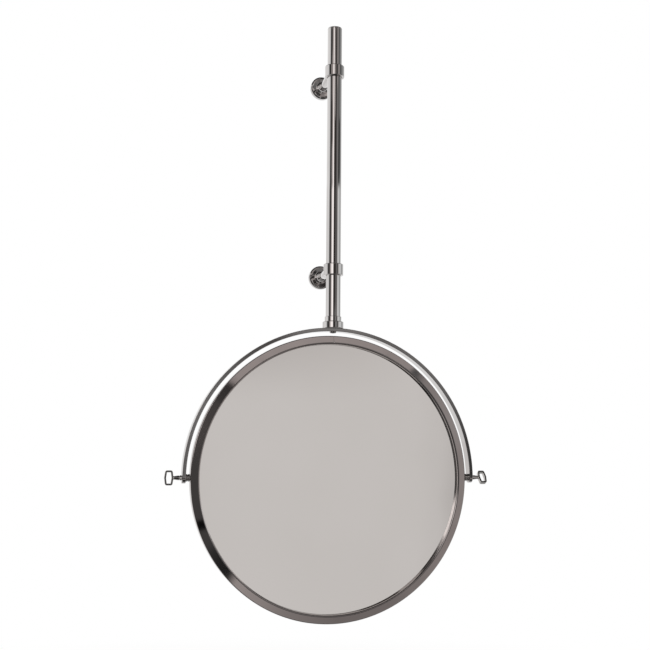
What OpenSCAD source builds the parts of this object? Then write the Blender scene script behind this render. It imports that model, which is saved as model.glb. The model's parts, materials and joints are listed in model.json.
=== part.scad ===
// Extendable shaving mirror for a wall: a round mirror tilts in a half-ring yoke, the yoke hangs
// from a tube, and the tube slides and swivels in the collars of two wall brackets.
// Frame: origin at the wall face of the lower bracket, +X to the right, +Y into the wall, +Z up.

/* [Mirror] */
// Outer diameter of the mirror's metal ring
ring_d = 480; // [440:1:520]
// Width of the ring's front band, from its outer edge to the visible glass
band_w = 15; // [12:0.5:20]
// Depth of the ring from its front lip to its back edge
ring_depth = 18; // [16:0.5:24]
// Tilt of the band, which falls back from its lip to its outer edge
band_tilt = 11.5; // [5:0.5:15]
// Radius of the round on the band's inner lip
lip_round = 3; // [1:0.25:4]
// Depth of the glass behind the ring's front lip
glass_recess = 7; // [4.5:0.25:7.5]
// Thickness of the mirror glass
glass_t = 4; // [3:0.5:5]
// Thickness of the sheet metal back cover
cover_t = 1; // [0.8:0.1:1.5]
// Number of screws that hold the back cover
cover_screw_count = 8; // [6:1:12]

/* [Yoke] */
// Gap between the mirror's ring and the yoke
yoke_gap = 7.5; // [6:0.5:12]
// Thickness of the yoke's flat bar
yoke_t = 6; // [5:0.5:8]
// Depth of the yoke's flat bar, front to back
yoke_depth = 18; // [16:0.5:24]

/* [Pivots] */
// Diameter of the pivot screws' thread
pivot_d = 6; // [5:0.5:7]
// Diameter of the spacers between yoke and ring
spacer_d = 12.5; // [9:0.5:14]
// Height of a thumb screw's loop
loop_h = 24; // [20:1:28]
// Width of the loop across its middle
loop_w = 15; // [13:0.5:18]
// Width of the loop's flat ends
loop_end_w = 12; // [9:0.5:12.5]
// Thickness of the loop's strip
loop_t = 3; // [2:0.1:3.2]
// Depth of the loop's strip
loop_depth = 6.5; // [4:0.5:7.5]
// Length of the neck between yoke and loop
neck_l = 13; // [10:0.5:16]
// Turn of the right loop about its screw, top towards the wall
right_loop_turn = 33; // [0:1:60]

/* [Pole] */
// Outer diameter of the pole tube
pole_d = 25.4; // [24:0.1:28]
// Wall thickness of the pole tube
pole_wall = 1.5; // [1.2:0.1:2]
// Height of the pole's top above the mirror's centre
pole_top = 791; // [780:1:860]
// Diameter of the socket's wide base ring
socket_base_d = 36; // [34:0.5:40]
// Height of the socket's wide base ring
socket_base_h = 11.8; // [10:0.2:14]
// Diameter of the socket's narrow sleeve
socket_sleeve_d = 28.6; // [28.4:0.1:32]
// Height of the socket's narrow sleeve
socket_sleeve_h = 8.9; // [8:0.1:12]

/* [Brackets] */
// Distance between the two wall brackets
bracket_spacing = 355; // [340:1:380]
// Distance from the wall to the pole's axis
arm_reach = 90; // [85:1:110]
// Drop from the lower bracket to the mirror's centre
mirror_drop = 355; // [350:1:372]
// Diameter of the wall rosettes
rosette_d = 42; // [42:0.5:50]
// Thickness of the wall rosettes
rosette_t = 9; // [8:0.5:12]
// Diameter of the arm's neck at the rosette
arm_neck_d = 6.5; // [6:0.5:9]
// Length of the arm's straight neck
arm_neck_l = 4; // [2:0.5:8]
// Diameter of the arm where it meets the collar
arm_root_d = 17.5; // [14:0.5:18]
// Outer diameter of the collars
collar_d = 34; // [33:0.5:38]
// Height of the collars
collar_h = 20; // [18:0.5:24]
// Distance between a wall plate's two screw holes
plate_hole_spacing = 24; // [22:0.5:26]
// Diameter of a wall plate's screw holes
plate_hole_d = 4.5; // [4:0.1:5]

/* [Hidden] */
$fn = 128;
eps = 0.01;
run_gap = 0.05;      // radial gap of a running fit
free_gap = 0.4;      // gap between neighbours that move apart
snug_gap = 0.1;      // gap between neighbours that stay together

ring_r = ring_d / 2;
opening_r = ring_r - band_w;
lip_y = -(ring_depth - 2) / 2;
ring_back_y = lip_y + ring_depth;
band_slope = tan(band_tilt);
edge_y = lip_y + lip_round * (1 - cos(band_tilt))
       + band_slope * (band_w - lip_round * (1 + sin(band_tilt)));
glass_y = lip_y + glass_recess;
rim_wall = 7;
pocket_r = ring_r - rim_wall;
rabbet_r = ring_r - 2.5;
rabbet_y = ring_back_y - cover_t - 0.4;
edge_round = 0.8;
cover_screw_r = 1.25;
cover_head_r = 2.2;
cover_head_t = 1.2;
cover_screw_l = 6;
cover_pitch_r = (pocket_r + rabbet_r) / 2;

yoke_in_r = ring_r + yoke_gap;
yoke_out_r = yoke_in_r + yoke_t;
seat_drop = 0.6;
seat_z = yoke_out_r - seat_drop;

pivot_r = pivot_d / 2;
shank_r = pivot_r - run_gap;
shank_tip_x = pocket_r + 0.6;
neck_base_x = yoke_out_r + 0.3;
neck_base_r = 4.25;
neck_tip_r = 2.8;
loop_x = neck_base_x + neck_l;
loop_round = 2.4;

pole_r = pole_d / 2;
pole_bore_r = pole_r - pole_wall;
cap_t = 3;
cap_plug_l = 10;
socket_floor = 3;
socket_bore_r = pole_r + snug_gap;
socket_top = seat_z + socket_base_h + socket_sleeve_h;
pole_foot = seat_z + socket_floor + snug_gap;
insert_l = 22;
bolt_r = 3;
bolt_head_r = 6;
bolt_head_t = 2.4;
bolt_l = 24;

collar_r = collar_d / 2;
collar_edge = 1;
bush_in_r = pole_r + run_gap;
bush_out_r = bush_in_r + 1.45;
bush_h = collar_h - 4;
collar_lip_r = pole_r + 0.5;
set_screw_r = 2.5;
set_screw_turn = 45;

plate_r = rosette_d / 2 - 3;
plate_t = 3;
stud_r = 3;
stud_l = 6;
head_room = 3.5;
hub_r = 7.5;
hub_t = 2.5;
spigot_r = 5.2;

// Places
module at_pole(z = 0) { translate([0, -arm_reach, z]) children(); }
module at_mirror() { translate([0, -arm_reach, -mirror_drop]) children(); }
module along_y() { rotate([-90, 0, 0]) children(); }
module along_x() { rotate([0, 90, 0]) children(); }

// A round bar from one height to another along its own axis
module bar(r, from, to) { translate([0, 0, from]) cylinder(r = r, h = to - from); }

// An outline with its corners rounded by arcs of one radius
function turn_at(p, i) =
    let (n = len(p), a = p[(i + n - 1) % n] - p[i], b = p[(i + 1) % n] - p[i],
         u = a / norm(a), v = b / norm(b), half = acos(u * v) / 2,
         mid = (u + v) / norm(u + v))
    [mid, half, atan2(-mid.y, -mid.x)];
function rounded(p, r, steps = 8) = [
    for (i = [0 : len(p) - 1])
        let (t = turn_at(p, i), centre = p[i] + t[0] * r / sin(t[1]), sweep = 90 - t[1])
        for (k = [0 : steps])
            centre + r * [cos(t[2] - sweep + 2 * sweep * k / steps),
                          sin(t[2] - sweep + 2 * sweep * k / steps)]];

// Mirror
module frame_ring() {
    lip = [for (k = [0 : 10]) let (a = 180 + (90 + band_tilt) * k / 10)
        [opening_r + lip_round * (1 + cos(a)), lip_y + lip_round * (1 + sin(a))]];
    color("dimgray") at_mirror() difference() {
        along_y() rotate_extrude() polygon(concat(lip, [
            [ring_r - edge_round, edge_y - band_slope * edge_round],
            [ring_r - 0.3, edge_y + 0.2], [ring_r, edge_y + edge_round],
            [ring_r, ring_back_y - edge_round], [ring_r - edge_round, ring_back_y],
            [rabbet_r, ring_back_y], [rabbet_r, rabbet_y], [pocket_r, rabbet_y],
            [pocket_r, glass_y], [opening_r, glass_y]]));
        for (side = [0, 1]) mirror([side, 0, 0])
            along_x() bar(pivot_r, pocket_r - 0.5, ring_r + 2);
        cover_screw_places() bar(cover_screw_r, rabbet_y - cover_screw_l, rabbet_y + 1);
    }
}

module mirror_glass() {
    color([0.77, 0.76, 0.74]) at_mirror()
        along_y() bar(pocket_r - 0.5, glass_y + snug_gap, glass_y + glass_t + snug_gap);
}

module backing_board() {
    color("burlywood") at_mirror()
        along_y() bar(pocket_r - 1, glass_y + glass_t + 2 * snug_gap, rabbet_y - snug_gap);
}

module back_cover() {
    color("silver") at_mirror() difference() {
        along_y() bar(rabbet_r - 0.3, rabbet_y, rabbet_y + cover_t);
        cover_screw_places() bar(cover_screw_r + 0.3, rabbet_y - 1, rabbet_y + cover_t + 1);
    }
}

module cover_screw_places() {
    along_y() for (i = [0 : cover_screw_count - 1])
        rotate([0, 0, 360 * (i + 0.5) / cover_screw_count]) translate([cover_pitch_r, 0, 0])
            children();
}

module cover_screws() {
    head_y = rabbet_y + cover_t;
    color("silver") at_mirror() cover_screw_places() difference() {
        union() {
            bar(cover_screw_r - run_gap, rabbet_y - cover_screw_l + 0.5, head_y + eps);
            bar(cover_head_r, head_y, head_y + cover_head_t);
        }
        for (turn = [0, 90]) rotate([0, 0, turn])
            translate([-1.4, -0.25, head_y + cover_head_t - 0.7]) cube([2.8, 0.5, 1]);
    }
}

// Pivots
module loop_outline(inset) {
    h = loop_h / 2 - inset;
    w = loop_w / 2 - inset;
    e = loop_end_w / 2 - inset;
    polygon(rounded([[w, 0], [e, h], [-e, h], [-w, 0], [-e, -h], [e, -h]],
                    max(loop_round - inset, 0.8)));
}

module thumb_screw(side, loop_turn) {
    color("silver") at_mirror() mirror([side < 0 ? 1 : 0, 0, 0]) {
        along_x() rotate_extrude() polygon([
            [0, shank_tip_x], [shank_r - 0.6, shank_tip_x], [shank_r, shank_tip_x + 0.6],
            [shank_r, neck_base_x], [neck_base_r, neck_base_x],
            [neck_base_r, neck_base_x + 2], [neck_tip_r, loop_x + 0.6], [0, loop_x + 0.6]]);
        rotate([loop_turn, 0, 0]) translate([loop_x + loop_w / 2, loop_depth / 2, 0])
            rotate([90, 0, 0]) linear_extrude(loop_depth) difference() {
                loop_outline(0);
                loop_outline(loop_t);
            }
    }
}

module thumb_screw_left() { thumb_screw(-1, 0); }
module thumb_screw_right() { thumb_screw(1, -right_loop_turn); }

module spacer(side) {
    color("silver") at_mirror() mirror([side < 0 ? 1 : 0, 0, 0]) along_x() difference() {
        bar(spacer_d / 2, ring_r + free_gap, yoke_in_r - snug_gap);
        bar(pivot_r, ring_r, yoke_in_r);
    }
}

module spacer_left() { spacer(-1); }
module spacer_right() { spacer(1); }

// Yoke
module yoke() {
    color("darkgray") at_mirror() difference() {
        union() {
            along_y() rotate([0, 0, 180]) rotate_extrude(angle = 180)
                translate([yoke_in_r, -yoke_depth / 2]) square([yoke_t, yoke_depth]);
            for (side = [0, 1]) mirror([side, 0, 0]) yoke_end();
        }
        translate([-40, -yoke_depth, seat_z]) cube([80, 2 * yoke_depth, 5]);
        bar(bolt_r + 0.2, yoke_in_r - 5, yoke_out_r + 5);
        for (side = [0, 1]) mirror([side, 0, 0])
            along_x() bar(pivot_r, yoke_in_r - 2, yoke_out_r + 2);
    }
}

module yoke_end() {
    intersection() {
        along_x() bar(yoke_depth / 2, yoke_in_r, yoke_out_r);
        translate([yoke_in_r - 1, -yoke_depth, -yoke_depth])
            cube([yoke_t + 2, 2 * yoke_depth, yoke_depth]);
    }
}

module yoke_bolt() {
    seat = yoke_in_r - snug_gap;
    color("silver") at_mirror() difference() {
        rotate_extrude() polygon([
            [0, seat - bolt_head_t], [bolt_head_r - 2, seat - bolt_head_t],
            [bolt_head_r - 0.5, seat - bolt_head_t + 0.8], [bolt_head_r, seat - 0.6],
            [bolt_head_r, seat], [bolt_r, seat], [bolt_r, seat + bolt_l],
            [0, seat + bolt_l]]);
        translate([0, 0, seat - bolt_head_t - 1]) cylinder(d = 4.6, h = 2.4, $fn = 6);
    }
}

// Pole
module pole_socket() {
    base_r = socket_base_d / 2;
    sleeve_r = socket_sleeve_d / 2;
    step_z = seat_z + socket_base_h;
    color("silver") at_mirror() rotate_extrude() polygon([
        [bolt_r + 0.2, seat_z], [base_r - 0.8, seat_z], [base_r, seat_z + 0.8],
        [base_r, step_z - 1], [base_r - 1, step_z], [sleeve_r, step_z],
        [sleeve_r, socket_top - 0.6], [sleeve_r - 0.6, socket_top],
        [socket_bore_r, socket_top], [socket_bore_r, seat_z + socket_floor],
        [bolt_r + 0.2, seat_z + socket_floor]]);
}

module pole_insert() {
    color("goldenrod") at_mirror() difference() {
        bar(pole_bore_r - snug_gap, pole_foot, pole_foot + insert_l);
        bar(bolt_r + run_gap, pole_foot - 1, pole_foot + insert_l + 1);
    }
}

module pole_tube() {
    color("gray") at_mirror() difference() {
        bar(pole_r, pole_foot, pole_top - cap_t);
        bar(pole_bore_r, pole_foot - 1, pole_top);
    }
}

module pole_cap() {
    seat = pole_top - cap_t;
    plug_r = pole_bore_r - snug_gap;
    color("dimgray") at_mirror() rotate_extrude() polygon([
        [0, seat - cap_plug_l], [plug_r - 0.5, seat - cap_plug_l], [plug_r, seat - cap_plug_l + 1],
        [plug_r, seat], [pole_r, seat], [pole_r, pole_top - 2],
        for (a = [15 : 15 : 90]) [pole_r - 1.5 + 1.5 * cos(a), pole_top - 2 + 1.5 * sin(a)],
        [pole_r - 6, pole_top - 0.15], [0, pole_top]]);
}

// Brackets
module bush(z) {
    color("whitesmoke") at_pole(z) difference() {
        bar(bush_out_r, -bush_h / 2, bush_h / 2);
        bar(bush_in_r, -bush_h, bush_h);
    }
}

module collar(z) {
    half = collar_h / 2;
    pocket = bush_h / 2 + snug_gap;
    color("silver") at_pole(z) difference() {
        rotate_extrude() polygon([
            [collar_lip_r, -half], [collar_r - collar_edge, -half], [collar_r, collar_edge - half],
            [collar_r, half - collar_edge], [collar_r - collar_edge, half], [collar_lip_r, half],
            [collar_lip_r, pocket], [bush_out_r + run_gap, pocket],
            [bush_out_r + run_gap, -pocket], [collar_lip_r, -pocket]]);
        rotate([0, 0, set_screw_turn]) along_x() bar(set_screw_r, bush_out_r, collar_r + 2);
    }
}

module set_screw(z) {
    color("silver") at_pole(z) rotate([0, 0, set_screw_turn]) along_x() difference() {
        bar(set_screw_r - run_gap, bush_out_r + 0.2, collar_r - 0.3);
        translate([0, 0, collar_r - 1.6]) cylinder(d = 2.8, h = 2, $fn = 6);
    }
}

module arm(z) {
    hub_y = -rosette_t;
    root_y = -arm_reach + collar_r;
    neck_y = hub_y - hub_t - arm_neck_l;
    swell = (arm_root_d - arm_neck_d) / 2;
    color("whitesmoke") translate([0, 0, z]) difference() {
        along_y() rotate_extrude() polygon([
            [stud_r + run_gap, -plate_t - snug_gap], [spigot_r, -plate_t - snug_gap],
            [spigot_r, hub_y], [hub_r, hub_y], [hub_r, hub_y - hub_t + 0.8],
            [hub_r - 0.8, hub_y - hub_t], [arm_neck_d / 2, hub_y - hub_t - 0.6],
            for (t = [0 : 0.1 : 1])
                [arm_neck_d / 2 + swell * pow(sin(90 * t), 0.6),
                 neck_y + t * (root_y - neck_y)],
            [arm_root_d / 2, root_y - 6],
            [0, root_y - 6], [0, -plate_t - stud_l - 1],
            [stud_r + run_gap, -plate_t - stud_l - 1]]);
        translate([0, -arm_reach, -collar_h]) cylinder(r = collar_r, h = 2 * collar_h);
    }
}

module rosette(z) {
    r = rosette_d / 2;
    color("gray") translate([0, 0, z]) along_y() rotate_extrude() polygon([
        [plate_r + 0.3, 0], [r, 0], [r, -rosette_t + 3], [r - 0.5, -rosette_t + 1.6],
        [r - 2.2, -rosette_t + 0.4], [r - 4, -rosette_t + 0.8], [r - 6, -rosette_t + 1.6],
        [hub_r + 2.5, -rosette_t + 1.6], [hub_r + 0.5, -rosette_t], [spigot_r + snug_gap, -rosette_t],
        [spigot_r + snug_gap, -plate_t - head_room], [plate_r - 1.5, -plate_t - head_room],
        [plate_r + 0.3, -plate_t - head_room + 2]]);
}

module wall_plate(z) {
    color("lightgray") translate([0, 0, z]) along_y() difference() {
        union() {
            bar(plate_r, -plate_t, 0);
            bar(stud_r, -plate_t - stud_l, 0);
        }
        for (side = [-1, 1]) translate([0, side * plate_hole_spacing / 2, 0])
            bar(plate_hole_d / 2, -plate_t - 1, 1);
    }
}

module bush_lower() { bush(0); }
module bush_upper() { bush(bracket_spacing); }
module collar_lower() { collar(0); }
module collar_upper() { collar(bracket_spacing); }
module set_screw_lower() { set_screw(0); }
module set_screw_upper() { set_screw(bracket_spacing); }
module arm_lower() { arm(0); }
module arm_upper() { arm(bracket_spacing); }
module rosette_lower() { rosette(0); }
module rosette_upper() { rosette(bracket_spacing); }
module wall_plate_lower() { wall_plate(0); }
module wall_plate_upper() { wall_plate(bracket_spacing); }

frame_ring();
mirror_glass();
backing_board();
back_cover();
cover_screws();
thumb_screw_left();
thumb_screw_right();
spacer_left();
spacer_right();
yoke();
yoke_bolt();
pole_socket();
pole_insert();
pole_tube();
pole_cap();
bush_lower();
bush_upper();
collar_lower();
collar_upper();
set_screw_lower();
set_screw_upper();
arm_lower();
arm_upper();
rosette_lower();
rosette_upper();
wall_plate_lower();
wall_plate_upper();
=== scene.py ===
import json
import math
import bmesh
import bpy
from mathutils import Euler, Matrix, Vector


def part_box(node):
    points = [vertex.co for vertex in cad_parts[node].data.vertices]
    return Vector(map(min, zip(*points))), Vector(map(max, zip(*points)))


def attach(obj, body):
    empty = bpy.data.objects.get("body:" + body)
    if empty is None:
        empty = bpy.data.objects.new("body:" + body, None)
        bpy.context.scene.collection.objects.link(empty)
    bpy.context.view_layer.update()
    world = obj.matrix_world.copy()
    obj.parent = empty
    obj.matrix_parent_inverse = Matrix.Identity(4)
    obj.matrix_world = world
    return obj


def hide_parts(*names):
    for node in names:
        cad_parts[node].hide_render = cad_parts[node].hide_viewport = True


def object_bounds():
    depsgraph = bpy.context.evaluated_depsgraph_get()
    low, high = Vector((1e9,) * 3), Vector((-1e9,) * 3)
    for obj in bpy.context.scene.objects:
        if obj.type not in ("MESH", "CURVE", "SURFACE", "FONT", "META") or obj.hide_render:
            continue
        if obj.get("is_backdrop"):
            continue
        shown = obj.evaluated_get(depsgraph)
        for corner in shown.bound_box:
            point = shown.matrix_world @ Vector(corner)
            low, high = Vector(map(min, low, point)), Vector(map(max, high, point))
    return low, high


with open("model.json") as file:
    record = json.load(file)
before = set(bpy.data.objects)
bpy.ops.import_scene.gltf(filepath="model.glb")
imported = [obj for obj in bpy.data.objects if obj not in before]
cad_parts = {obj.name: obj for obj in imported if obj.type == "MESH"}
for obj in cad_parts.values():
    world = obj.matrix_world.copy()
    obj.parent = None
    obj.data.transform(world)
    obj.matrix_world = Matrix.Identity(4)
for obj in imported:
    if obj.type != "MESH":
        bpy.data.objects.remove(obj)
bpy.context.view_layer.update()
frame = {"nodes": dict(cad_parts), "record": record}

scene = bpy.context.scene
MM = 0.001
SNUG = 0.1                     # gap between neighbours that stay together, in millimetres
SHARP = math.radians(32)       # edges steeper than this stay sharp under smooth shading
WELD = 2e-7                    # points nearer than this are joined, in metres

# Places, read from the frame
joints = {j["name"]: j for j in frame["record"]["behaviour"]["joints"]}
MIRROR = Vector(joints["mirror_tilt"]["pos_m"])
POLE = Vector(joints["pole_swivel"]["pos_m"])


def half_size(node, axis):
    """Half of a CAD node's extent along one axis, in millimetres."""
    low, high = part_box(node)
    return (high[axis] - low[axis]) / 2 / MM


def level(node, axis, end, origin):
    """Where a CAD node ends along one axis, in millimetres from an origin."""
    return (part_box(node)[end][axis] - origin[axis]) / MM


# ---------------------------------------------------------------- mesh tools


def rounded(corners, steps=5, support=0.12):
    """A closed outline of (u, v, radius) corners, each turned into an arc with a loop beside it."""
    out = []
    n = len(corners)
    for i, (u, v, radius) in enumerate(corners):
        here = Vector((u, v))
        back = Vector(corners[i - 1][:2]) - here
        ahead = Vector(corners[(i + 1) % n][:2]) - here
        if radius <= 0:
            out.append(here)
            continue
        half = back.angle(ahead) / 2
        reach = radius / math.tan(half)
        limit = 0.46 * min(back.length, ahead.length)
        if reach > limit:
            radius, reach = radius * limit / reach, limit
        mid = (back.normalized() + ahead.normalized()).normalized()
        centre = here + mid * radius / math.sin(half)
        start = here + back.normalized() * reach
        end = here + ahead.normalized() * reach
        a, b = start - centre, end - centre
        sweep = a.angle_signed(b)
        if back.length - reach > 2.2 * support:
            out.append(start + back.normalized() * support)
        for k in range(steps + 1):
            out.append(centre + Matrix.Rotation(-sweep * k / steps, 2) @ a)
        if ahead.length - reach > 2.2 * support:
            out.append(end + ahead.normalized() * support)
    return out


def skin(name, rings, path_closed=False, caps=False):
    """A smooth mesh skinned over closed rings of points, given in millimetres in the part frame."""
    bm = bmesh.new()
    rows = [[bm.verts.new(p * MM) for p in ring] for ring in rings]
    count = len(rows[0])
    for i in range(len(rows) if path_closed else len(rows) - 1):
        a, b = rows[i], rows[(i + 1) % len(rows)]
        for j in range(count):
            k = (j + 1) % count
            bm.faces.new((a[j], a[k], b[k], b[j]))
    if caps:
        bm.faces.new(rows[0][::-1])
        bm.faces.new(rows[-1])
    bmesh.ops.remove_doubles(bm, verts=bm.verts, dist=WELD)
    bmesh.ops.dissolve_degenerate(bm, edges=bm.edges, dist=WELD)
    bmesh.ops.recalc_face_normals(bm, faces=bm.faces)
    mesh = bpy.data.meshes.new(name)
    bm.to_mesh(mesh)
    bm.free()
    mesh.shade_smooth()
    mesh.set_sharp_from_angle(angle=SHARP)
    obj = bpy.data.objects.new(name, mesh)
    scene.collection.objects.link(obj)
    return obj


AXES = {"x": (Vector((1, 0, 0)), Vector((0, 1, 0)), Vector((0, 0, 1))),
        "-x": (Vector((-1, 0, 0)), Vector((0, -1, 0)), Vector((0, 0, 1))),
        "y": (Vector((0, 1, 0)), Vector((0, 0, 1)), Vector((1, 0, 0))),
        "z": (Vector((0, 0, 1)), Vector((1, 0, 0)), Vector((0, 1, 0)))}


def lathe(name, corners, axis, origin, steps=96, angles=None, shift=None, arc_steps=5):
    """Turns an outline of (radius, height, rounding) corners about an axis through origin."""
    along, side, up = AXES[axis]
    outline = rounded(corners, arc_steps)
    turns = angles or [2 * math.pi * i / steps for i in range(steps)]
    base = origin / MM
    rings = []
    for turn in turns:
        out = side * math.cos(turn) + up * math.sin(turn)
        ring = []
        for p in outline:
            r, h = shift(p, turn) if shift else p
            ring.append(base + out * max(r, 0) + along * h)
        rings.append(ring)
    return skin(name, rings, path_closed=True)


def rod_outline(radius, low, high, edge):
    """A plain turned rod's outline, with rounded end edges."""
    return [(0, low, 0), (radius, low, edge), (radius, high, edge), (0, high, 0)]


def tube_outline(inner, outer, low, high, edge):
    """A tube's outline, with rounded edges."""
    return [(inner, low, edge / 2), (outer, low, edge), (outer, high, edge), (inner, high, edge / 2)]


def cut(obj, cutter):
    """Subtracts a cutter mesh from a piece and removes the cutter."""
    mod = obj.modifiers.new("cut", "BOOLEAN")
    mod.operation = "DIFFERENCE"
    mod.solver = "EXACT"
    mod.object = cutter
    bpy.context.view_layer.update()
    graph = bpy.context.evaluated_depsgraph_get()
    mesh = bpy.data.meshes.new_from_object(obj.evaluated_get(graph))
    mesh.name = obj.name
    obj.modifiers.clear()
    obj.data = mesh
    bpy.data.objects.remove(cutter)
    mesh.set_sharp_from_angle(angle=SHARP)


# ---------------------------------------------------------------- node tools


class Graph:
    """Builds a node tree with short calls."""

    def __init__(self, tree):
        self.tree = tree

    def node(self, kind, **settings):
        made = self.tree.nodes.new(kind)
        for key, value in settings.items():
            setattr(made, key, value)
        return made

    def feed(self, socket, value):
        if isinstance(value, bpy.types.NodeSocket):
            self.tree.links.new(value, socket)
        else:
            socket.default_value = value

    def math(self, op, a, b=None, c=None):
        made = self.node("ShaderNodeMath", operation=op)
        for socket, value in zip(made.inputs, (a, b, c)):
            if value is not None:
                self.feed(socket, value)
        return made.outputs[0]

    def noise(self, where, scale, detail=2.0, rough=0.5, stretch=None):
        if stretch:
            mapped = self.node("ShaderNodeMapping")
            self.feed(mapped.inputs["Vector"], where)
            mapped.inputs["Scale"].default_value = stretch
            where = mapped.outputs[0]
        made = self.node("ShaderNodeTexNoise")
        self.feed(made.inputs["Vector"], where)
        made.inputs["Scale"].default_value = scale
        made.inputs["Detail"].default_value = detail
        made.inputs["Roughness"].default_value = rough
        return made.outputs["Fac"]

    def span(self, value, from_low, from_high, to_low=0.0, to_high=1.0, smooth=False):
        made = self.node("ShaderNodeMapRange")
        if smooth:
            made.interpolation_type = "SMOOTHSTEP"
        self.feed(made.inputs["Value"], value)
        for key, number in (("From Min", from_low), ("From Max", from_high),
                            ("To Min", to_low), ("To Max", to_high)):
            made.inputs[key].default_value = number
        return made.outputs["Result"]

    def mix(self, factor, a, b):
        made = self.node("ShaderNodeMix", data_type="RGBA")
        for index, value in ((0, factor), (6, a), (7, b)):
            self.feed(made.inputs[index], value)
        return made.outputs[2]

    def bump(self, height, strength, depth_mm, below=None):
        made = self.node("ShaderNodeBump")
        made.inputs["Strength"].default_value = strength
        made.inputs["Distance"].default_value = depth_mm * MM
        self.feed(made.inputs["Height"], height)
        if below is not None:
            self.feed(made.inputs["Normal"], below)
        return made.outputs["Normal"]

    def ramp(self, value, stops):
        made = self.node("ShaderNodeValToRGB")
        self.feed(made.inputs[0], value)
        elements = made.color_ramp.elements
        elements.remove(elements[1])
        elements[0].position = stops[0][0]
        elements[0].color = (*stops[0][1], 1)
        for at, colour in stops[1:]:
            elements.new(at).color = (*colour, 1)
        return made.outputs["Color"]


def grey(level, warmth=0.0):
    """A near-neutral colour; warmth above 0 turns it towards rose."""
    return (level * (1 + warmth), level, level * (1 - 0.25 * warmth))


# ---------------------------------------------------------------- materials


def base_material(name, rough, metallic):
    """A material with its shader, a node builder for it and the object coordinates."""
    material = bpy.data.materials.new(name)
    material.use_nodes = True
    shader = material.node_tree.nodes["Principled BSDF"]
    shader.inputs["Metallic"].default_value = metallic
    shader.inputs["Roughness"].default_value = rough
    graph = Graph(material.node_tree)
    where = graph.node("ShaderNodeTexCoord").outputs["Object"]
    return material, shader, graph, where


SCRATCH_MM, SCRATCH_STRETCH = 0.0004, (1, 1, 14)


def polished(name, colour, rough, wave_mm, wave_scale, edge_highlight=0.35):
    """Mirror-polished plate: slow waviness, wiping haze, fine scratches, edges roughened by wear and a
    painted highlight along convex edges.
    """
    material, shader, g, where = base_material(name, rough, 1.0)
    cloud = g.noise(where, 14, 3, 0.55)
    haze = g.noise(where, 55, 5, 0.62)
    lines = g.noise(where, 900, 3, 0.7, stretch=SCRATCH_STRETCH)
    edge = g.span(g.node("ShaderNodeNewGeometry").outputs["Pointiness"], 0.53, 0.62)
    dark = tuple(c * 0.93 for c in colour)
    # Painted highlight: a lighter base colour laid along convex edges; the same edges are also made
    # rougher.
    lit = tuple(min(1.0, c * 1.10 + 0.02) for c in colour)
    tone = g.mix(g.span(cloud, 0.35, 0.68), (*dark, 1), (*colour, 1))
    tone = g.mix(g.math("MULTIPLY", edge, edge_highlight), tone, (*lit, 1))
    g.feed(shader.inputs["Base Color"], tone)
    dull = g.math("ADD", g.span(haze, 0.42, 0.75, 0.0, 0.03), g.span(lines, 0.58, 0.8, 0.0, 0.03))
    dull = g.math("ADD", dull, g.math("MULTIPLY", edge, 0.06))
    g.feed(shader.inputs["Roughness"], g.math("ADD", dull, rough))
    wave = g.bump(g.noise(where, wave_scale, 1, 0.4), 1.0, wave_mm)
    g.feed(shader.inputs["Normal"], g.bump(lines, 0.6, SCRATCH_MM, wave))
    return material


def silvered(name):
    """Silvered float glass: a faint warm cast, a little wiping haze and a very slow wave."""
    material, shader, g, where = base_material(name, 0.02, 1.0)
    cloud = g.noise(where, 5, 2, 0.5)
    g.feed(shader.inputs["Base Color"],
           g.mix(g.span(cloud, 0.3, 0.7), (0.86, 0.855, 0.84, 1), (0.885, 0.88, 0.87, 1)))
    smear = g.noise(where, 28, 6, 0.65, stretch=(1, 1, 2.5))
    g.feed(shader.inputs["Roughness"], g.span(smear, 0.35, 0.8, 0.015, 0.06))
    g.feed(shader.inputs["Normal"], g.bump(g.noise(where, 6, 1, 0.4), 1.0, 0.01))
    return material


def sheet_metal(name, colour, rough):
    """Satin sheet with rolling marks, soft stains and a roughness that varies with the stains."""
    material, shader, g, where = base_material(name, rough, 1.0)
    grain = g.noise(where, 420, 3, 0.65, stretch=(0.04, 1, 1))
    stain = g.noise(where, 16, 5, 0.6)
    dark = tuple(c * 0.8 for c in colour)
    tone = g.mix(g.span(stain, 0.3, 0.75), (*dark, 1), (*colour, 1))
    tone = g.mix(g.span(grain, 0.3, 0.7, 0.0, 0.35), tone, (*(c * 0.7 for c in colour), 1))
    g.feed(shader.inputs["Base Color"], tone)
    worn = g.span(stain, 0.3, 0.7, rough - 0.05, rough)
    g.feed(shader.inputs["Roughness"], g.math("ADD", g.span(grain, 0.3, 0.7, 0.0, 0.16), worn))
    g.feed(shader.inputs["Normal"], g.bump(grain, 0.5, 0.02))
    return material


def matt(name, colour, rough, scale, contrast, depth_mm):
    """A matt material: mottled colour, uneven roughness and a fine surface grain."""
    material, shader, g, where = base_material(name, rough, 0.0)
    mottle = g.noise(where, scale, 6, 0.6)
    dark = tuple(c * (1 - contrast) for c in colour)
    g.feed(shader.inputs["Base Color"], g.mix(g.span(mottle, 0.3, 0.7), (*dark, 1), (*colour, 1)))
    g.feed(shader.inputs["Roughness"], g.span(mottle, 0.3, 0.7, rough - 0.08, rough + 0.05))
    g.feed(shader.inputs["Normal"], g.bump(g.noise(where, scale * 3, 4, 0.6), 0.6, depth_mm))
    return material


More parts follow.
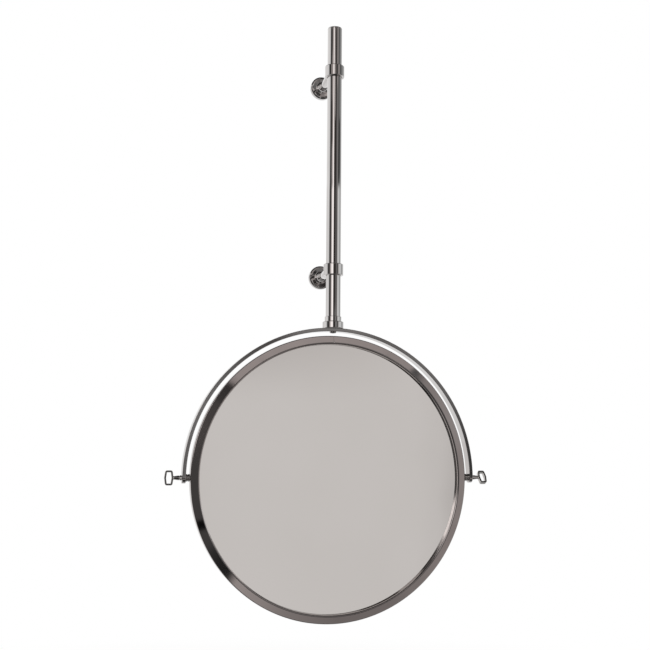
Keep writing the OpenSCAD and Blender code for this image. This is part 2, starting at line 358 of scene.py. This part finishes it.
MATERIALS = {
    "ring_metal": polished("ring_metal", (0.60, 0.565, 0.555), 0.05, 0.05, 22, edge_highlight=0.2),
    "pole_metal": polished("pole_metal", (0.70, 0.68, 0.67), 0.02, 0.04, 16),
    "bracket_metal": polished("bracket_metal", (0.70, 0.68, 0.67), 0.02, 0.04, 40),
    "screw_metal": polished("screw_metal", (0.66, 0.645, 0.63), 0.04, 0.03, 70),
    "glass": silvered("glass"),
    "board": matt("board", (0.50, 0.36, 0.23), 0.8, 260, 0.35, 0.12),
    "cover": sheet_metal("cover", (0.66, 0.66, 0.65), 0.34),
    "nylon": matt("nylon", (0.82, 0.80, 0.74), 0.5, 90, 0.06, 0.02),
    "insert": polished("insert", (0.72, 0.56, 0.29), 0.22, 0.03, 90),
    "plate": sheet_metal("plate", (0.60, 0.60, 0.59), 0.38),
}
SLOTS = {s["node"]: s["material_slot"] for s in frame["record"]["subparts"]}
for name, obj in frame["nodes"].items():
    obj.data.materials.clear()
    obj.data.materials.append(MATERIALS[SLOTS[name]])


def place(piece, body, *nodes):
    """Gives a piece its body and the material of the CAD nodes it stands for, and hides those nodes."""
    slot = SLOTS[nodes[0]]
    piece.data.materials.clear()
    piece.data.materials.append(MATERIALS[slot])
    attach(piece, body)
    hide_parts(*nodes)


# ---------------------------------------------------------------- mirror

ring_r = half_size("frame_ring", 0)
lip_y = level("frame_ring", 1, 0, MIRROR)
back_y = level("frame_ring", 1, 1, MIRROR)
glass_r = half_size("mirror_glass", 0)
glass_front = level("mirror_glass", 1, 0, MIRROR)
glass_back = level("mirror_glass", 1, 1, MIRROR)
cover_r = half_size("back_cover", 0)
cover_front = level("back_cover", 1, 0, MIRROR)
BAND_W, LIP_ROUND, RIM_ROUND, RIM_WALL, RABBET = 15, 3, 1.6, 7, 2.5
BAND_TILT = math.radians(11.5)
opening_r = ring_r - BAND_W
# The band's plane, carried on to the opening's wall and to the ring's outer wall
sharp_y = lip_y + LIP_ROUND * (1 - math.cos(BAND_TILT)
                               - math.tan(BAND_TILT) * (1 + math.sin(BAND_TILT)))
edge_y = sharp_y + BAND_W * math.tan(BAND_TILT)

# The butt weld is at the lathe's first angle, which points straight up
SEAM_HALF_W, SEAM_DEPTH = 0.6, 0.25


def seam(p, turn):
    """Sinks the ring's outer skin along the butt weld at its top."""
    off = abs((turn + math.pi) % (2 * math.pi) - math.pi) * ring_r
    sink = SEAM_DEPTH * max(0.0, 1 - off / SEAM_HALF_W)
    r, y = p
    if y < edge_y + 0.5 and r > opening_r + 1:
        return r, y + sink
    return (r - sink, y) if r > ring_r - 0.3 else (r, y)


fine = [SEAM_HALF_W * k / 3 / ring_r for k in range(-4, 5)]
even = [2 * math.pi * i / 384 for i in range(1, 384)]
ring = lathe("ring", [
    (opening_r, sharp_y, LIP_ROUND), (ring_r, edge_y, RIM_ROUND), (ring_r, back_y, 0.8),
    (ring_r - RABBET, back_y, 0.25), (ring_r - RABBET, cover_front, 0),
    (ring_r - RIM_WALL, cover_front, 0.2), (ring_r - RIM_WALL, glass_front - SNUG, 0),
    (opening_r, glass_front - SNUG, 0.15)], "y", MIRROR, angles=fine + even, shift=seam, arc_steps=9)
place(ring, "mirror", "frame_ring")

glass = lathe("glass_disc", rod_outline(glass_r, glass_front, glass_back, 0.5), "y", MIRROR, 256)
place(glass, "mirror", "mirror_glass")

BEAD_RADII, BEAD_RISE = (214, 59), 0.32      # the cover's two pressed beads
cover_back = level("back_cover", 1, 1, MIRROR)
beads = [(r + off, cover_back + rise, 1.5) for r in BEAD_RADII
         for off, rise in ((5, 0), (2, BEAD_RISE), (-2, BEAD_RISE), (-5, 0))]
cover = lathe("cover_sheet", [
    (0, cover_front, 0), (cover_r, cover_front, 0.2), (cover_r, cover_back, 0.3), *beads,
    (0, cover_back, 0)], "y", MIRROR, 256)
place(cover, "mirror", "back_cover")

# ---------------------------------------------------------------- pivots

PIVOT_R, SPACER_R, SPACER_BORE, GROOVE = 2.95, 6.25, 3.05, 0.9
YOKE_T, YOKE_DEPTH, YOKE_GAP, SEAT_DROP = 6, 18, 7.5, 0.6
yoke_in = ring_r + YOKE_GAP
yoke_out = yoke_in + YOKE_T
LOOP_H, LOOP_W, LOOP_END, LOOP_T, LOOP_DEPTH = 24, 15, 12, 3, 6.5
WAIST_ROUND, CORNER_ROUND = 4, 1.8
NECK_L, NECK_GAP, SPACER_GAP, RIGHT_TURN = 13, 0.3, 0.4, -33
neck_base = yoke_out + NECK_GAP
loop_x = neck_base + NECK_L


def loop_ring(name, side, turn):
    """A thumb screw's hexagonal loop of flat wire, turned about the screw's axis."""
    inset = LOOP_T / 2
    h, w, e = LOOP_H / 2 - inset, LOOP_W / 2 - inset, LOOP_END / 2 - inset
    path = rounded([(w, 0, WAIST_ROUND), (e, h, CORNER_ROUND), (-e, h, CORNER_ROUND),
                    (-w, 0, WAIST_ROUND), (-e, -h, CORNER_ROUND), (e, -h, CORNER_ROUND)], 7, 0.4)
    section = rounded([(s * LOOP_T / 2, d * LOOP_DEPTH / 2, 0.6)
                       for s, d in ((1, 1), (-1, 1), (-1, -1), (1, -1))], 4)
    lean = Matrix.Rotation(math.radians(turn), 3, "X")
    rings = []
    for i, p in enumerate(path):
        ahead = (path[(i + 1) % len(path)] - path[i - 1]).normalized()
        out = Vector((ahead.y, -ahead.x))
        ring_points = []
        for s, d in section:
            q = p + out * s
            point = lean @ Vector((q.x, d, q.y))
            point.x += loop_x + LOOP_W / 2
            ring_points.append(MIRROR / MM + Vector((side * point.x, point.y, point.z)))
        rings.append(ring_points)
    return skin(name, rings, path_closed=True)


necks = []


def thumb_screw(side, word, turn):
    """A pivot screw: a shank and turned neck with a loop across its end."""
    tip = ring_r - RIM_WALL + 0.6
    neck = lathe("thumb_neck_" + word, [
        (0, tip, 0), (PIVOT_R, tip, 0.6), (PIVOT_R, neck_base, 0.1), (4.25, neck_base, 0.4),
        (4.25, neck_base + 2.2, 0.8), (3.3, neck_base + 3.2, 0.5), (3.95, neck_base + 4.2, 0.6),
        (2.8, loop_x - 0.6, 2), (3.0, loop_x + 1.0, 0.4), (0, loop_x + 1.0, 0)],
        "x" if side > 0 else "-x", MIRROR, 64)
    loop = loop_ring("thumb_loop_" + word, side, turn)
    for piece in (neck, loop):
        place(piece, word + "_thumb", "thumb_screw_" + word)
    necks.append(neck)


thumb_screw(-1, "left", 0)
thumb_screw(1, "right", RIGHT_TURN)

for side, word in ((-1, "left"), (1, "right")):
    low, high = ring_r + SPACER_GAP, yoke_in - SNUG
    mid = (low + high) / 2
    spacer = lathe("spacer_tube_" + word, [
        (SPACER_BORE, low, 0.2), (SPACER_R, low, 0.6), (SPACER_R, mid - 0.7, 0.4),
        (SPACER_R - GROOVE, mid - 0.4, 0.2), (SPACER_R - GROOVE, mid + 0.4, 0.2),
        (SPACER_R, mid + 0.7, 0.4), (SPACER_R, high, 0.6), (SPACER_BORE, high, 0.2)],
        "x" if side > 0 else "-x", MIRROR, 64)
    place(spacer, "hanger", "spacer_" + word)

# ---------------------------------------------------------------- yoke


END_STEPS, ARC_STEPS, BAR_EDGE = 14, 240, 0.7
YOKE_HOLE_R, BOLT_HOLE_R, SEAT_R = 3.0, 3.2, 40


def yoke_sections():
    """Rounded bar sections along the half ring, then down round each end."""
    half_t, half_d = YOKE_T / 2, YOKE_DEPTH / 2
    mid_r = (yoke_in + yoke_out) / 2

    def end(side, k):
        turn = math.pi / 2 * k / END_STEPS
        return (Vector((side, 0, 0)), -half_d * math.sin(turn), max(half_d * math.cos(turn), 0.05))

    stations = [end(1, k) for k in range(END_STEPS, 0, -1)]
    for k in range(ARC_STEPS + 1):
        turn = math.pi * k / ARC_STEPS
        stations.append((Vector((math.cos(turn), 0, math.sin(turn))), 0, half_d))
    stations += [end(-1, k) for k in range(1, END_STEPS + 1)]
    rings = []
    for out, drop, depth in stations:
        edge = min(BAR_EDGE, depth * 0.5)
        outline = rounded([(half_t, depth, edge), (-half_t, depth, edge), (-half_t, -depth, edge),
                           (half_t, -depth, edge)], 4, 0.1 if depth > 1 else 9)
        rings.append([MIRROR / MM + out * (mid_r + s) + Vector((0, d, drop)) for s, d in outline])
    return rings


def match_counts(rings):
    """Keeps every ring at the first full ring's count by repeating points where loops are missing."""
    full = max(len(r) for r in rings)
    return [r if len(r) == full else [r[min(int(i * len(r) / full), len(r) - 1)] for i in range(full)]
            for r in rings]


yoke = skin("yoke_bar", match_counts(yoke_sections()), caps=True)
seat_z = yoke_out - SEAT_DROP
cut(yoke, lathe("cutter", rod_outline(SEAT_R, seat_z, seat_z + 6, 0), "z", MIRROR, 48))
cut(yoke, lathe("cutter", rod_outline(BOLT_HOLE_R, yoke_in - 5, yoke_out + 5, 0), "z", MIRROR, 48))
for axis in ("x", "-x"):
    cut(yoke, lathe("cutter", rod_outline(YOKE_HOLE_R, yoke_in - 2, yoke_out + 2, 0), axis, MIRROR, 48))
place(yoke, "hanger", "yoke")

HEAD_R, HEAD_H, BOLT_R, BOLT_L = 6, 2.4, 3, 24
bolt_top = yoke_in - SNUG
bolt = lathe("bolt", [
    (0, bolt_top - 1.0, 0), (2.1, bolt_top - 1.0, 0), (2.5, bolt_top - HEAD_H, 0.1),
    (4.6, bolt_top - HEAD_H, 0.9), (HEAD_R, bolt_top - 0.9, 0.5), (HEAD_R, bolt_top, 0.2),
    (BOLT_R, bolt_top, 0.1), (BOLT_R, bolt_top + BOLT_L, 0.6), (0, bolt_top + BOLT_L, 0)],
    "z", MIRROR, 72)
place(bolt, "hanger", "yoke_bolt")

# ---------------------------------------------------------------- pole

POLE_R, BORE_R, PLUG_L = 12.7, 11.2, 10
SOCKET_BASE_R, SOCKET_BASE_H, SLEEVE_R, SLEEVE_H, SOCKET_FLOOR = 18, 11.8, 14.3, 8.9, 3
foot = level("pole_tube", 2, 0, MIRROR)
tube_top = level("pole_tube", 2, 1, MIRROR)
pole_top = level("pole_cap", 2, 1, MIRROR)

tube = lathe("pole", tube_outline(BORE_R, POLE_R, foot, tube_top, 0.3), "z", MIRROR, 160)
place(tube, "hanger", "pole_tube")

cap = lathe("cap", [
    (0, tube_top - PLUG_L, 0), (BORE_R - SNUG, tube_top - PLUG_L, 0.8), (BORE_R - SNUG, tube_top, 0),
    (POLE_R, tube_top, 0.35), (POLE_R, pole_top - 0.5, 2.3), (6, pole_top, 4), (0, pole_top, 0)],
    "z", MIRROR, 160)
place(cap, "hanger", "pole_cap")

step_z = seat_z + SOCKET_BASE_H
socket = lathe("socket", [
    (BOLT_HOLE_R, seat_z, 0.2), (SOCKET_BASE_R, seat_z, 0.9), (SOCKET_BASE_R, step_z, 1.1),
    (SLEEVE_R, step_z, 0.5), (SLEEVE_R, step_z + SLEEVE_H, 0.7),
    (POLE_R + SNUG, step_z + SLEEVE_H, 0.1), (POLE_R + SNUG, seat_z + SOCKET_FLOOR, 0),
    (BOLT_HOLE_R, seat_z + SOCKET_FLOOR, 0)], "z", MIRROR, 128)
place(socket, "hanger", "pole_socket")

# ---------------------------------------------------------------- brackets

COLLAR_R, COLLAR_H, COLLAR_LIP_R, POCKET_R, POCKET_H = 17, 20, 13.2, 14.25, 16.2
SET_SCREW_R, SET_SCREW_TURN = 2.5, 45
ROSETTE_R, ROSETTE_T, HUB_R, HUB_T, SPIGOT_R = 21, 9, 7.5, 2.5, 5.2
NECK_R, NECK_LEN, ROOT_R, STUD_R, STUD_L = 3.25, 4, 8.75, 3.05, 7
SWELL_POWER = 0.6      # below 1, the arm widens early and then runs nearly straight
PLATE_T, PLATE_R, HEAD_ROOM = 3, 18, 3.5


def bracket(word):
    """A collar, tapered arm and wall rosette at the height of the CAD's wall plate."""
    plate_low, plate_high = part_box("wall_plate_" + word)
    wall = Vector((0, 0, (plate_low.z + plate_high.z) / 2))
    at_pole = wall + Vector((0, POLE.y, 0))
    half, pocket = COLLAR_H / 2, POCKET_H / 2

    collar = lathe("collar_ring_" + word, [
        (COLLAR_LIP_R, -half, 0.3), (COLLAR_R, -half, 1.2), (COLLAR_R, half, 1.2),
        (COLLAR_LIP_R, half, 0.3), (COLLAR_LIP_R, pocket, 0), (POCKET_R, pocket, 0),
        (POCKET_R, -pocket, 0), (COLLAR_LIP_R, -pocket, 0)], "z", at_pole, 128)
    screw_line = rod_outline(SET_SCREW_R, COLLAR_LIP_R + 0.5, COLLAR_R + 3, 0)
    hole = lathe("cutter", screw_line, "x", Vector((0, 0, 0)), 48)
    hole.data.transform(Matrix.Translation(at_pole)
                        @ Matrix.Rotation(math.radians(SET_SCREW_TURN), 4, "Z"))
    cut(collar, hole)
    place(collar, "brackets", "collar_" + word)

    hub_y = -ROSETTE_T
    root_y = POLE.y / MM + COLLAR_R
    neck_y = hub_y - HUB_T - NECK_LEN
    swell = [(NECK_R + (ROOT_R - NECK_R) * math.sin(math.pi / 2 * t) ** SWELL_POWER,
              neck_y + t * (root_y - neck_y), 0) for t in (k / 40 for k in range(41))]
    stud_end = -PLATE_T - STUD_L
    arm = lathe("arm_bar_" + word, [
        (STUD_R, -PLATE_T - SNUG, 0.2), (SPIGOT_R, -PLATE_T - SNUG, 0.3), (SPIGOT_R, hub_y, 0),
        (HUB_R, hub_y, 0.3), (HUB_R, hub_y - HUB_T, 0.9), (NECK_R, hub_y - HUB_T - 0.6, 0.6),
        *swell, (ROOT_R, root_y - 5, 0), (0, root_y - 5, 0), (0, stud_end, 0),
        (STUD_R, stud_end, 0)], "y", wall, 96)
    cut(arm, lathe("cutter", rod_outline(COLLAR_R, -20, 20, 0), "z", at_pole, 160))
    place(arm, "brackets", "arm_" + word)

    rosette = lathe("rosette_disc_" + word, [
        (PLATE_R + 0.3, 0, 0.3), (ROSETTE_R, 0, 0.3), (ROSETTE_R, hub_y + 2.2, 1.2),
        (ROSETTE_R - 2.2, hub_y + 0.3, 1.0), (ROSETTE_R - 4.2, hub_y + 1.0, 1.0),
        (HUB_R + 3.5, hub_y + 1.7, 2.0), (HUB_R + 0.6, hub_y, 0.8), (SPIGOT_R + SNUG, hub_y, 0.2),
        (SPIGOT_R + SNUG, -PLATE_T - HEAD_ROOM, 0), (PLATE_R - 1.5, -PLATE_T - HEAD_ROOM, 0.5),
        (PLATE_R + 0.3, -PLATE_T - HEAD_ROOM + 2, 0.5)], "y", wall, 128)
    place(rosette, "brackets", "rosette_" + word)
    # The arm shows the pale surround past its small rosette, not the rosette's dark face
    rosette.visible_glossy = frame["nodes"]["wall_plate_" + word].visible_glossy = False


bracket("lower")
bracket("upper")

# ---------------------------------------------------------------- camera

CAMERA_OFFSET = Vector((-0.4702, -1.6408, 0.0566))       # from the mirror's centre
CAMERA_TURN, CAMERA_RISE, CAMERA_ROLL = map(math.radians, (15.53, 6.77, 0.43))

cam_data = bpy.data.cameras.new("camera")
cam = bpy.data.objects.new("camera", cam_data)
scene.collection.objects.link(cam)
cam_data.lens = 55.4
cam_data.sensor_width = 36
cam.location = MIRROR + CAMERA_OFFSET
aim = Euler((math.pi / 2 + CAMERA_RISE, 0, -CAMERA_TURN)).to_matrix()
cam.rotation_euler = (aim @ Matrix.Rotation(CAMERA_ROLL, 3, "Z")).to_euler()
scene.camera = cam
scene.view_settings.view_transform = "Standard"

# ---------------------------------------------------------------- studio

# Rows of the studio's surround by height. Each stop is (azimuth, brightness, warmth): azimuth 0 is
# straight out from the mirror, minus is to its left as seen from the front, 180 is behind it.
CEILING = [(-180, 0.06, 0), (-100, 0.06, 0), (0, 0.03, 0.05), (100, 0.06, 0), (180, 0.06, 0)]
HIGH = [
    (-180, 1.00, 0), (-90, 0.80, 0.02), (-60, 0.40, 0.05), (-20, 0.36, 0.09), (-2, 0.44, 0.10),
    (16, 0.42, 0.10), (40, 0.40, 0.10), (90, 0.60, 0.04), (180, 1.00, 0)]
UPPER = [
    (-180, 1.00, 0), (-96, 0.88, 0), (-88, 0.70, 0), (-82, 0.35, 0), (-76, 0.03, 0.05),
    (-58, 0.04, 0.08), (-52, 0.12, 0.10), (-44, 0.26, 0.10), (-37, 0.48, 0.10), (-30, 0.90, 0.07),
    (-25, 1.40, 0.05), (-18.5, 1.35, 0.05), (-16, 0.08, 0.10), (-7, 0.05, 0.06), (-3, 0.045, 0.22),
    (12, 0.025, 0.15), (17, 0.05, 0.06), (24, 0.17, 0.03), (32, 0.15, -0.01), (38, 0.10, -0.02),
    (39.5, 0.33, 0.08), (46.5, 0.34, 0.08), (48, 0.11, -0.02), (58, 0.12, -0.02),
    (72, 0.18, -0.02), (85, 0.29, -0.02), (98, 0.37, -0.02), (113, 0.42, 0), (128, 0.62, 0),
    (180, 1.00, 0)]
LOWER = [
    (-180, 0.92, 0), (-160, 0.72, 0.02), (-130, 0.92, 0), (-99, 0.88, 0), (-90, 0.62, 0),
    (-83, 0.18, 0), (-76, 0.02, 0.05), (-60, 0.08, 0.10), (-52, 0.33, 0.09), (-45, 0.70, 0.07),
    (-38, 1.10, 0.06), (-28, 1.35, 0.05), (-18, 1.30, 0.05), (-15.5, 0.10, 0.10), (-7, 0.07, 0.06),
    (-4, 0.025, 0.20), (5, 0.03, 0.20), (11, 0.06, 0.10), (17, 0.12, 0.06), (24, 0.22, 0.03),
    (30, 0.08, 0), (36, 0.03, 0), (38, 0.06, 0), (39.5, 0.33, 0.08), (47, 0.40, 0.06),
    (54, 0.75, -0.01), (78, 0.78, -0.02), (88, 0.62, -0.02), (96, 0.36, -0.02), (104, 0.34, -0.02),
    (120, 0.72, 0), (180, 0.92, 0)]
HORIZON = [
    (-180, 0.95, 0), (-165, 0.72, 0.02), (-145, 0.74, 0.02), (-130, 0.92, 0), (-95, 0.90, 0),
    (-80, 0.30, 0.05), (-72, 0.06, 0.08), (-50, 0.06, 0.08), (-30, 0.09, 0.06), (-18, 0.07, 0.05),
    (-7, 0.085, 0.04), (-3, 0.04, 0.05), (6, 0.04, 0.02), (8.5, 0.20, 0.02), (22, 0.19, 0.02),
    (24.5, 0.02, 0.02), (29, 0.02, 0.05), (33, 0.20, 0.10), (38, 0.33, 0.09), (56, 0.36, 0.09),
    (60, 0.05, 0.03), (73, 0.05, 0.03), (80, 0.55, 0.03), (110, 0.75, 0), (180, 0.95, 0)]
UNDER = [
    (-180, 0.85, 0), (-95, 0.70, 0), (-75, 0.10, 0.05), (-40, 0.05, 0.05), (-13.9, 0.075, 0.03),
    (-13.5, 0.012, 0), (-13.1, 0.08, 0.03), (-10.5, 0.07, 0.03), (-9.5, 0.025, 0), (-6.8, 0.02, 0),
    (-6.2, 0.44, 0.09), (0, 0.38, 0.09), (8, 0.28, 0.09), (20, 0.22, 0.09), (32, 0.23, 0.09),
    (42, 0.31, 0.10), (55, 0.36, 0.10), (60, 0.05, 0.03), (73, 0.05, 0.03), (82, 0.50, 0.03),
    (110, 0.70, 0), (180, 0.85, 0)]
DEEP = [
    (-180, 0.40, 0), (-100, 0.35, 0), (-75, 0.30, 0.03), (-52, 0.04, 0.05), (-20, 0.02, 0.05),
    (50, 0.02, 0.05), (70, 0.05, 0.05), (95, 0.35, 0), (180, 0.40, 0)]
# Each row, and the heights between which it takes over from the row below
ROWS = [(DEEP, None, None), (UNDER, -42, -37), (HORIZON, -11.5, -10.5), (LOWER, 2, 7),
        (UPPER, 14.4, 15.0), (HIGH, 23.2, 24.2), (CEILING, 31, 35)]
# Single cards in front of the surround: azimuth from and to, height from and to, brightness, warmth
CARDS = [
    (-7.2, 1, 18.5, 26, 0.43, 0.10), (31, 40, 20.2, 27, 0.38, 0.10), (58, 90, 15, 18.4, 0.05, -0.02),
    (-58, -45, 19.5, 22, 0.30, 0.10), (-50, -40, 15, 17, 0.75, 0.06), (-3, 24, -25.5, -11.5, 0.01, 0),
    (-7, -2, -22, -11.5, 0.01, 0), (8, 24, 6.2, 7.8, 0.25, 0.03), (-17, -10, -13, -10.9, 0.004, 0)]
SWAY = 0.07            # how far the upright edges wander, in radians
CARD_SOFT = (1.0, 0.4)         # how soft a card's upright and level edges are, in degrees
GAIN = 2.0             # ramp colours are divided by this, so that brightness can pass 1


def window(g, value, low, high, soft):
    """A mask that is 1 between two angles in degrees."""
    rising = g.span(value, math.radians(low - soft), math.radians(low + soft), smooth=True)
    falling = g.span(value, math.radians(high + soft), math.radians(high - soft), smooth=True)
    return g.math("MULTIPLY", rising, falling)


def studio_world():
    """White paper to the eye and to matt surfaces, and the rows of the surround to glossy ones."""
    world = bpy.data.worlds.new("studio")
    world.use_nodes = True
    tree = world.node_tree
    g = Graph(tree)
    where = g.node("ShaderNodeTexCoord").outputs["Generated"]
    axes = g.node("ShaderNodeSeparateXYZ")
    g.feed(axes.inputs[0], where)
    x, y, z = axes.outputs
    azimuth = g.math("ARCTAN2", x, g.math("MULTIPLY", y, -1.0))
    height = g.math("ARCSINE", z)
    sway = g.math("MULTIPLY", g.math("SUBTRACT", g.noise(where, 9, 2, 0.5), 0.5), SWAY)
    azimuth = g.math("ADD", azimuth, sway)
    part = g.math("MULTIPLY_ADD", azimuth, 1 / (2 * math.pi), 0.5)
    tone = None
    for stops, start, end in ROWS:
        row = g.ramp(part, [((a + 180) / 360, grey(b / GAIN, w)) for a, b, w in stops])
        if tone is None:
            tone = row
        else:
            above = g.span(height, math.radians(start), math.radians(end), smooth=True)
            tone = g.mix(above, tone, row)
    for left, right, bottom, top, brightness, warmth in CARDS:
        mask = g.math("MULTIPLY", window(g, azimuth, left, right, CARD_SOFT[0]),
                      window(g, height, bottom, top, CARD_SOFT[1]))
        tone = g.mix(mask, tone, (*grey(brightness / GAIN, warmth), 1))
    back = tree.nodes["Background"]
    g.feed(back.inputs["Color"], tone)
    back.inputs["Strength"].default_value = GAIN
    paper = g.node("ShaderNodeBackground")
    paper.inputs["Color"].default_value = (1, 1, 1, 1)
    paper.inputs["Strength"].default_value = 1.0
    light_path = g.node("ShaderNodeLightPath")
    seen = g.math("MAXIMUM", light_path.outputs["Is Camera Ray"], light_path.outputs["Is Diffuse Ray"])
    choose = g.node("ShaderNodeMixShader")
    g.feed(choose.inputs[0], seen)
    g.feed(choose.inputs[1], back.outputs[0])
    g.feed(choose.inputs[2], paper.outputs[0])
    g.feed(tree.nodes["World Output"].inputs["Surface"], choose.outputs[0])
    scene.world = world


studio_world()


def soft_panel(name, offset, size, brightness, colour, pieces, shape="ELLIPSE"):
    """A soft panel in front of the mirror that only the given pieces see."""
    light = bpy.data.lights.new(name, "AREA")
    light.shape = shape
    light.size, light.size_y = size
    area = size[0] * size[1] * (math.pi / 4 if shape == "ELLIPSE" else 1)
    light.use_nodes = True
    panel = bpy.data.objects.new(name, light)
    scene.collection.objects.link(panel)
    panel.location = MIRROR + offset
    panel.rotation_euler = offset.to_track_quat("Z", "Y").to_euler()
    light.node_tree.nodes["Emission"].inputs["Color"].default_value = (*colour, 1)
    light.energy = brightness * math.pi * area
    light.use_shadow = False
    panel.visible_camera = False
    panel.visible_diffuse = False
    linked = bpy.data.collections.new(name + "_only")
    scene.collection.children.link(linked)
    for piece in pieces:
        linked.objects.link(piece)
    panel.light_linking.receiver_collection = linked


GLASS_TINT, NECK_TINT = (1.0, 0.935, 0.905), (1.0, 0.98, 0.96)
FRONT_LIGHT, SIDE_LIGHT, NECK_LIGHT = 0.42, 0.52, 0.8
PANEL_REACH = 2.6              # the wider panels' distance from the mirror's centre, in metres
FRONT_PANEL, NECK_PANEL = Vector((0.744, -2.6, -0.09)), Vector((0.70, -2.6, -0.1))
soft_panel("glass_panel", FRONT_PANEL, (1.3, 1.3), FRONT_LIGHT, GLASS_TINT, [glass])
# Wider panels, clear of each other, keep the glass pale from other sides too: azimuth, height, size
for word, side, rise, size in (("left", -60, -4, (2.9, 4)), ("right", 82, -4, (2.9, 4)),
                               ("low", 16, -63, (3.2, 2.8)), ("high", 16, 65, (3.2, 2.8))):
    side, rise = math.radians(side), math.radians(rise)
    toward = Vector((math.sin(side) * math.cos(rise), -math.cos(side) * math.cos(rise), math.sin(rise)))
    soft_panel("glass_panel_" + word, toward * PANEL_REACH, size, SIDE_LIGHT, GLASS_TINT, [glass],
               "RECTANGLE")
soft_panel("neck_panel", NECK_PANEL, (1.8, 4.4), NECK_LIGHT, NECK_TINT, necks)

FLOOR_Z, FLOOR_R = -1350.0, 9000       # in millimetres
FADE_FROM, FADE_TO = 2.2, 4.2          # where the floor melts into the surround, in metres


def pale_floor():
    """A round pale floor well below the mirror. Far out it melts into the white surround."""
    steps, rows = 96, 12
    turns = [2 * math.pi * i / steps for i in range(steps)]
    rings = []
    for k in range(rows + 1):
        r = FLOOR_R * (k / rows) ** 1.5
        rings.append([Vector((r * math.cos(t), POLE.y / MM + r * math.sin(t), FLOOR_Z)) for t in turns])
    floor = skin("floor", rings)
    material = bpy.data.materials.new("floor_paper")
    material.use_nodes = True
    g = Graph(material.node_tree)
    shader = material.node_tree.nodes["Principled BSDF"]
    shader.inputs["Base Color"].default_value = (0.86, 0.86, 0.855, 1)
    shader.inputs["Roughness"].default_value = 0.9
    where = g.node("ShaderNodeTexCoord").outputs["Object"]
    length = g.node("ShaderNodeVectorMath", operation="LENGTH")
    g.feed(length.inputs[0], where)
    far = g.span(length.outputs["Value"], FADE_FROM, FADE_TO, smooth=True)
    glow = g.node("ShaderNodeEmission")
    blend = g.node("ShaderNodeMixShader")
    g.feed(blend.inputs[0], far)
    g.feed(blend.inputs[1], shader.outputs[0])
    g.feed(blend.inputs[2], glow.outputs[0])
    g.feed(material.node_tree.nodes["Material Output"].inputs["Surface"], blend.outputs[0])
    floor.data.materials.append(material)
    floor.visible_glossy = False
    floor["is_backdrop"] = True


pale_floor()

low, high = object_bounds()
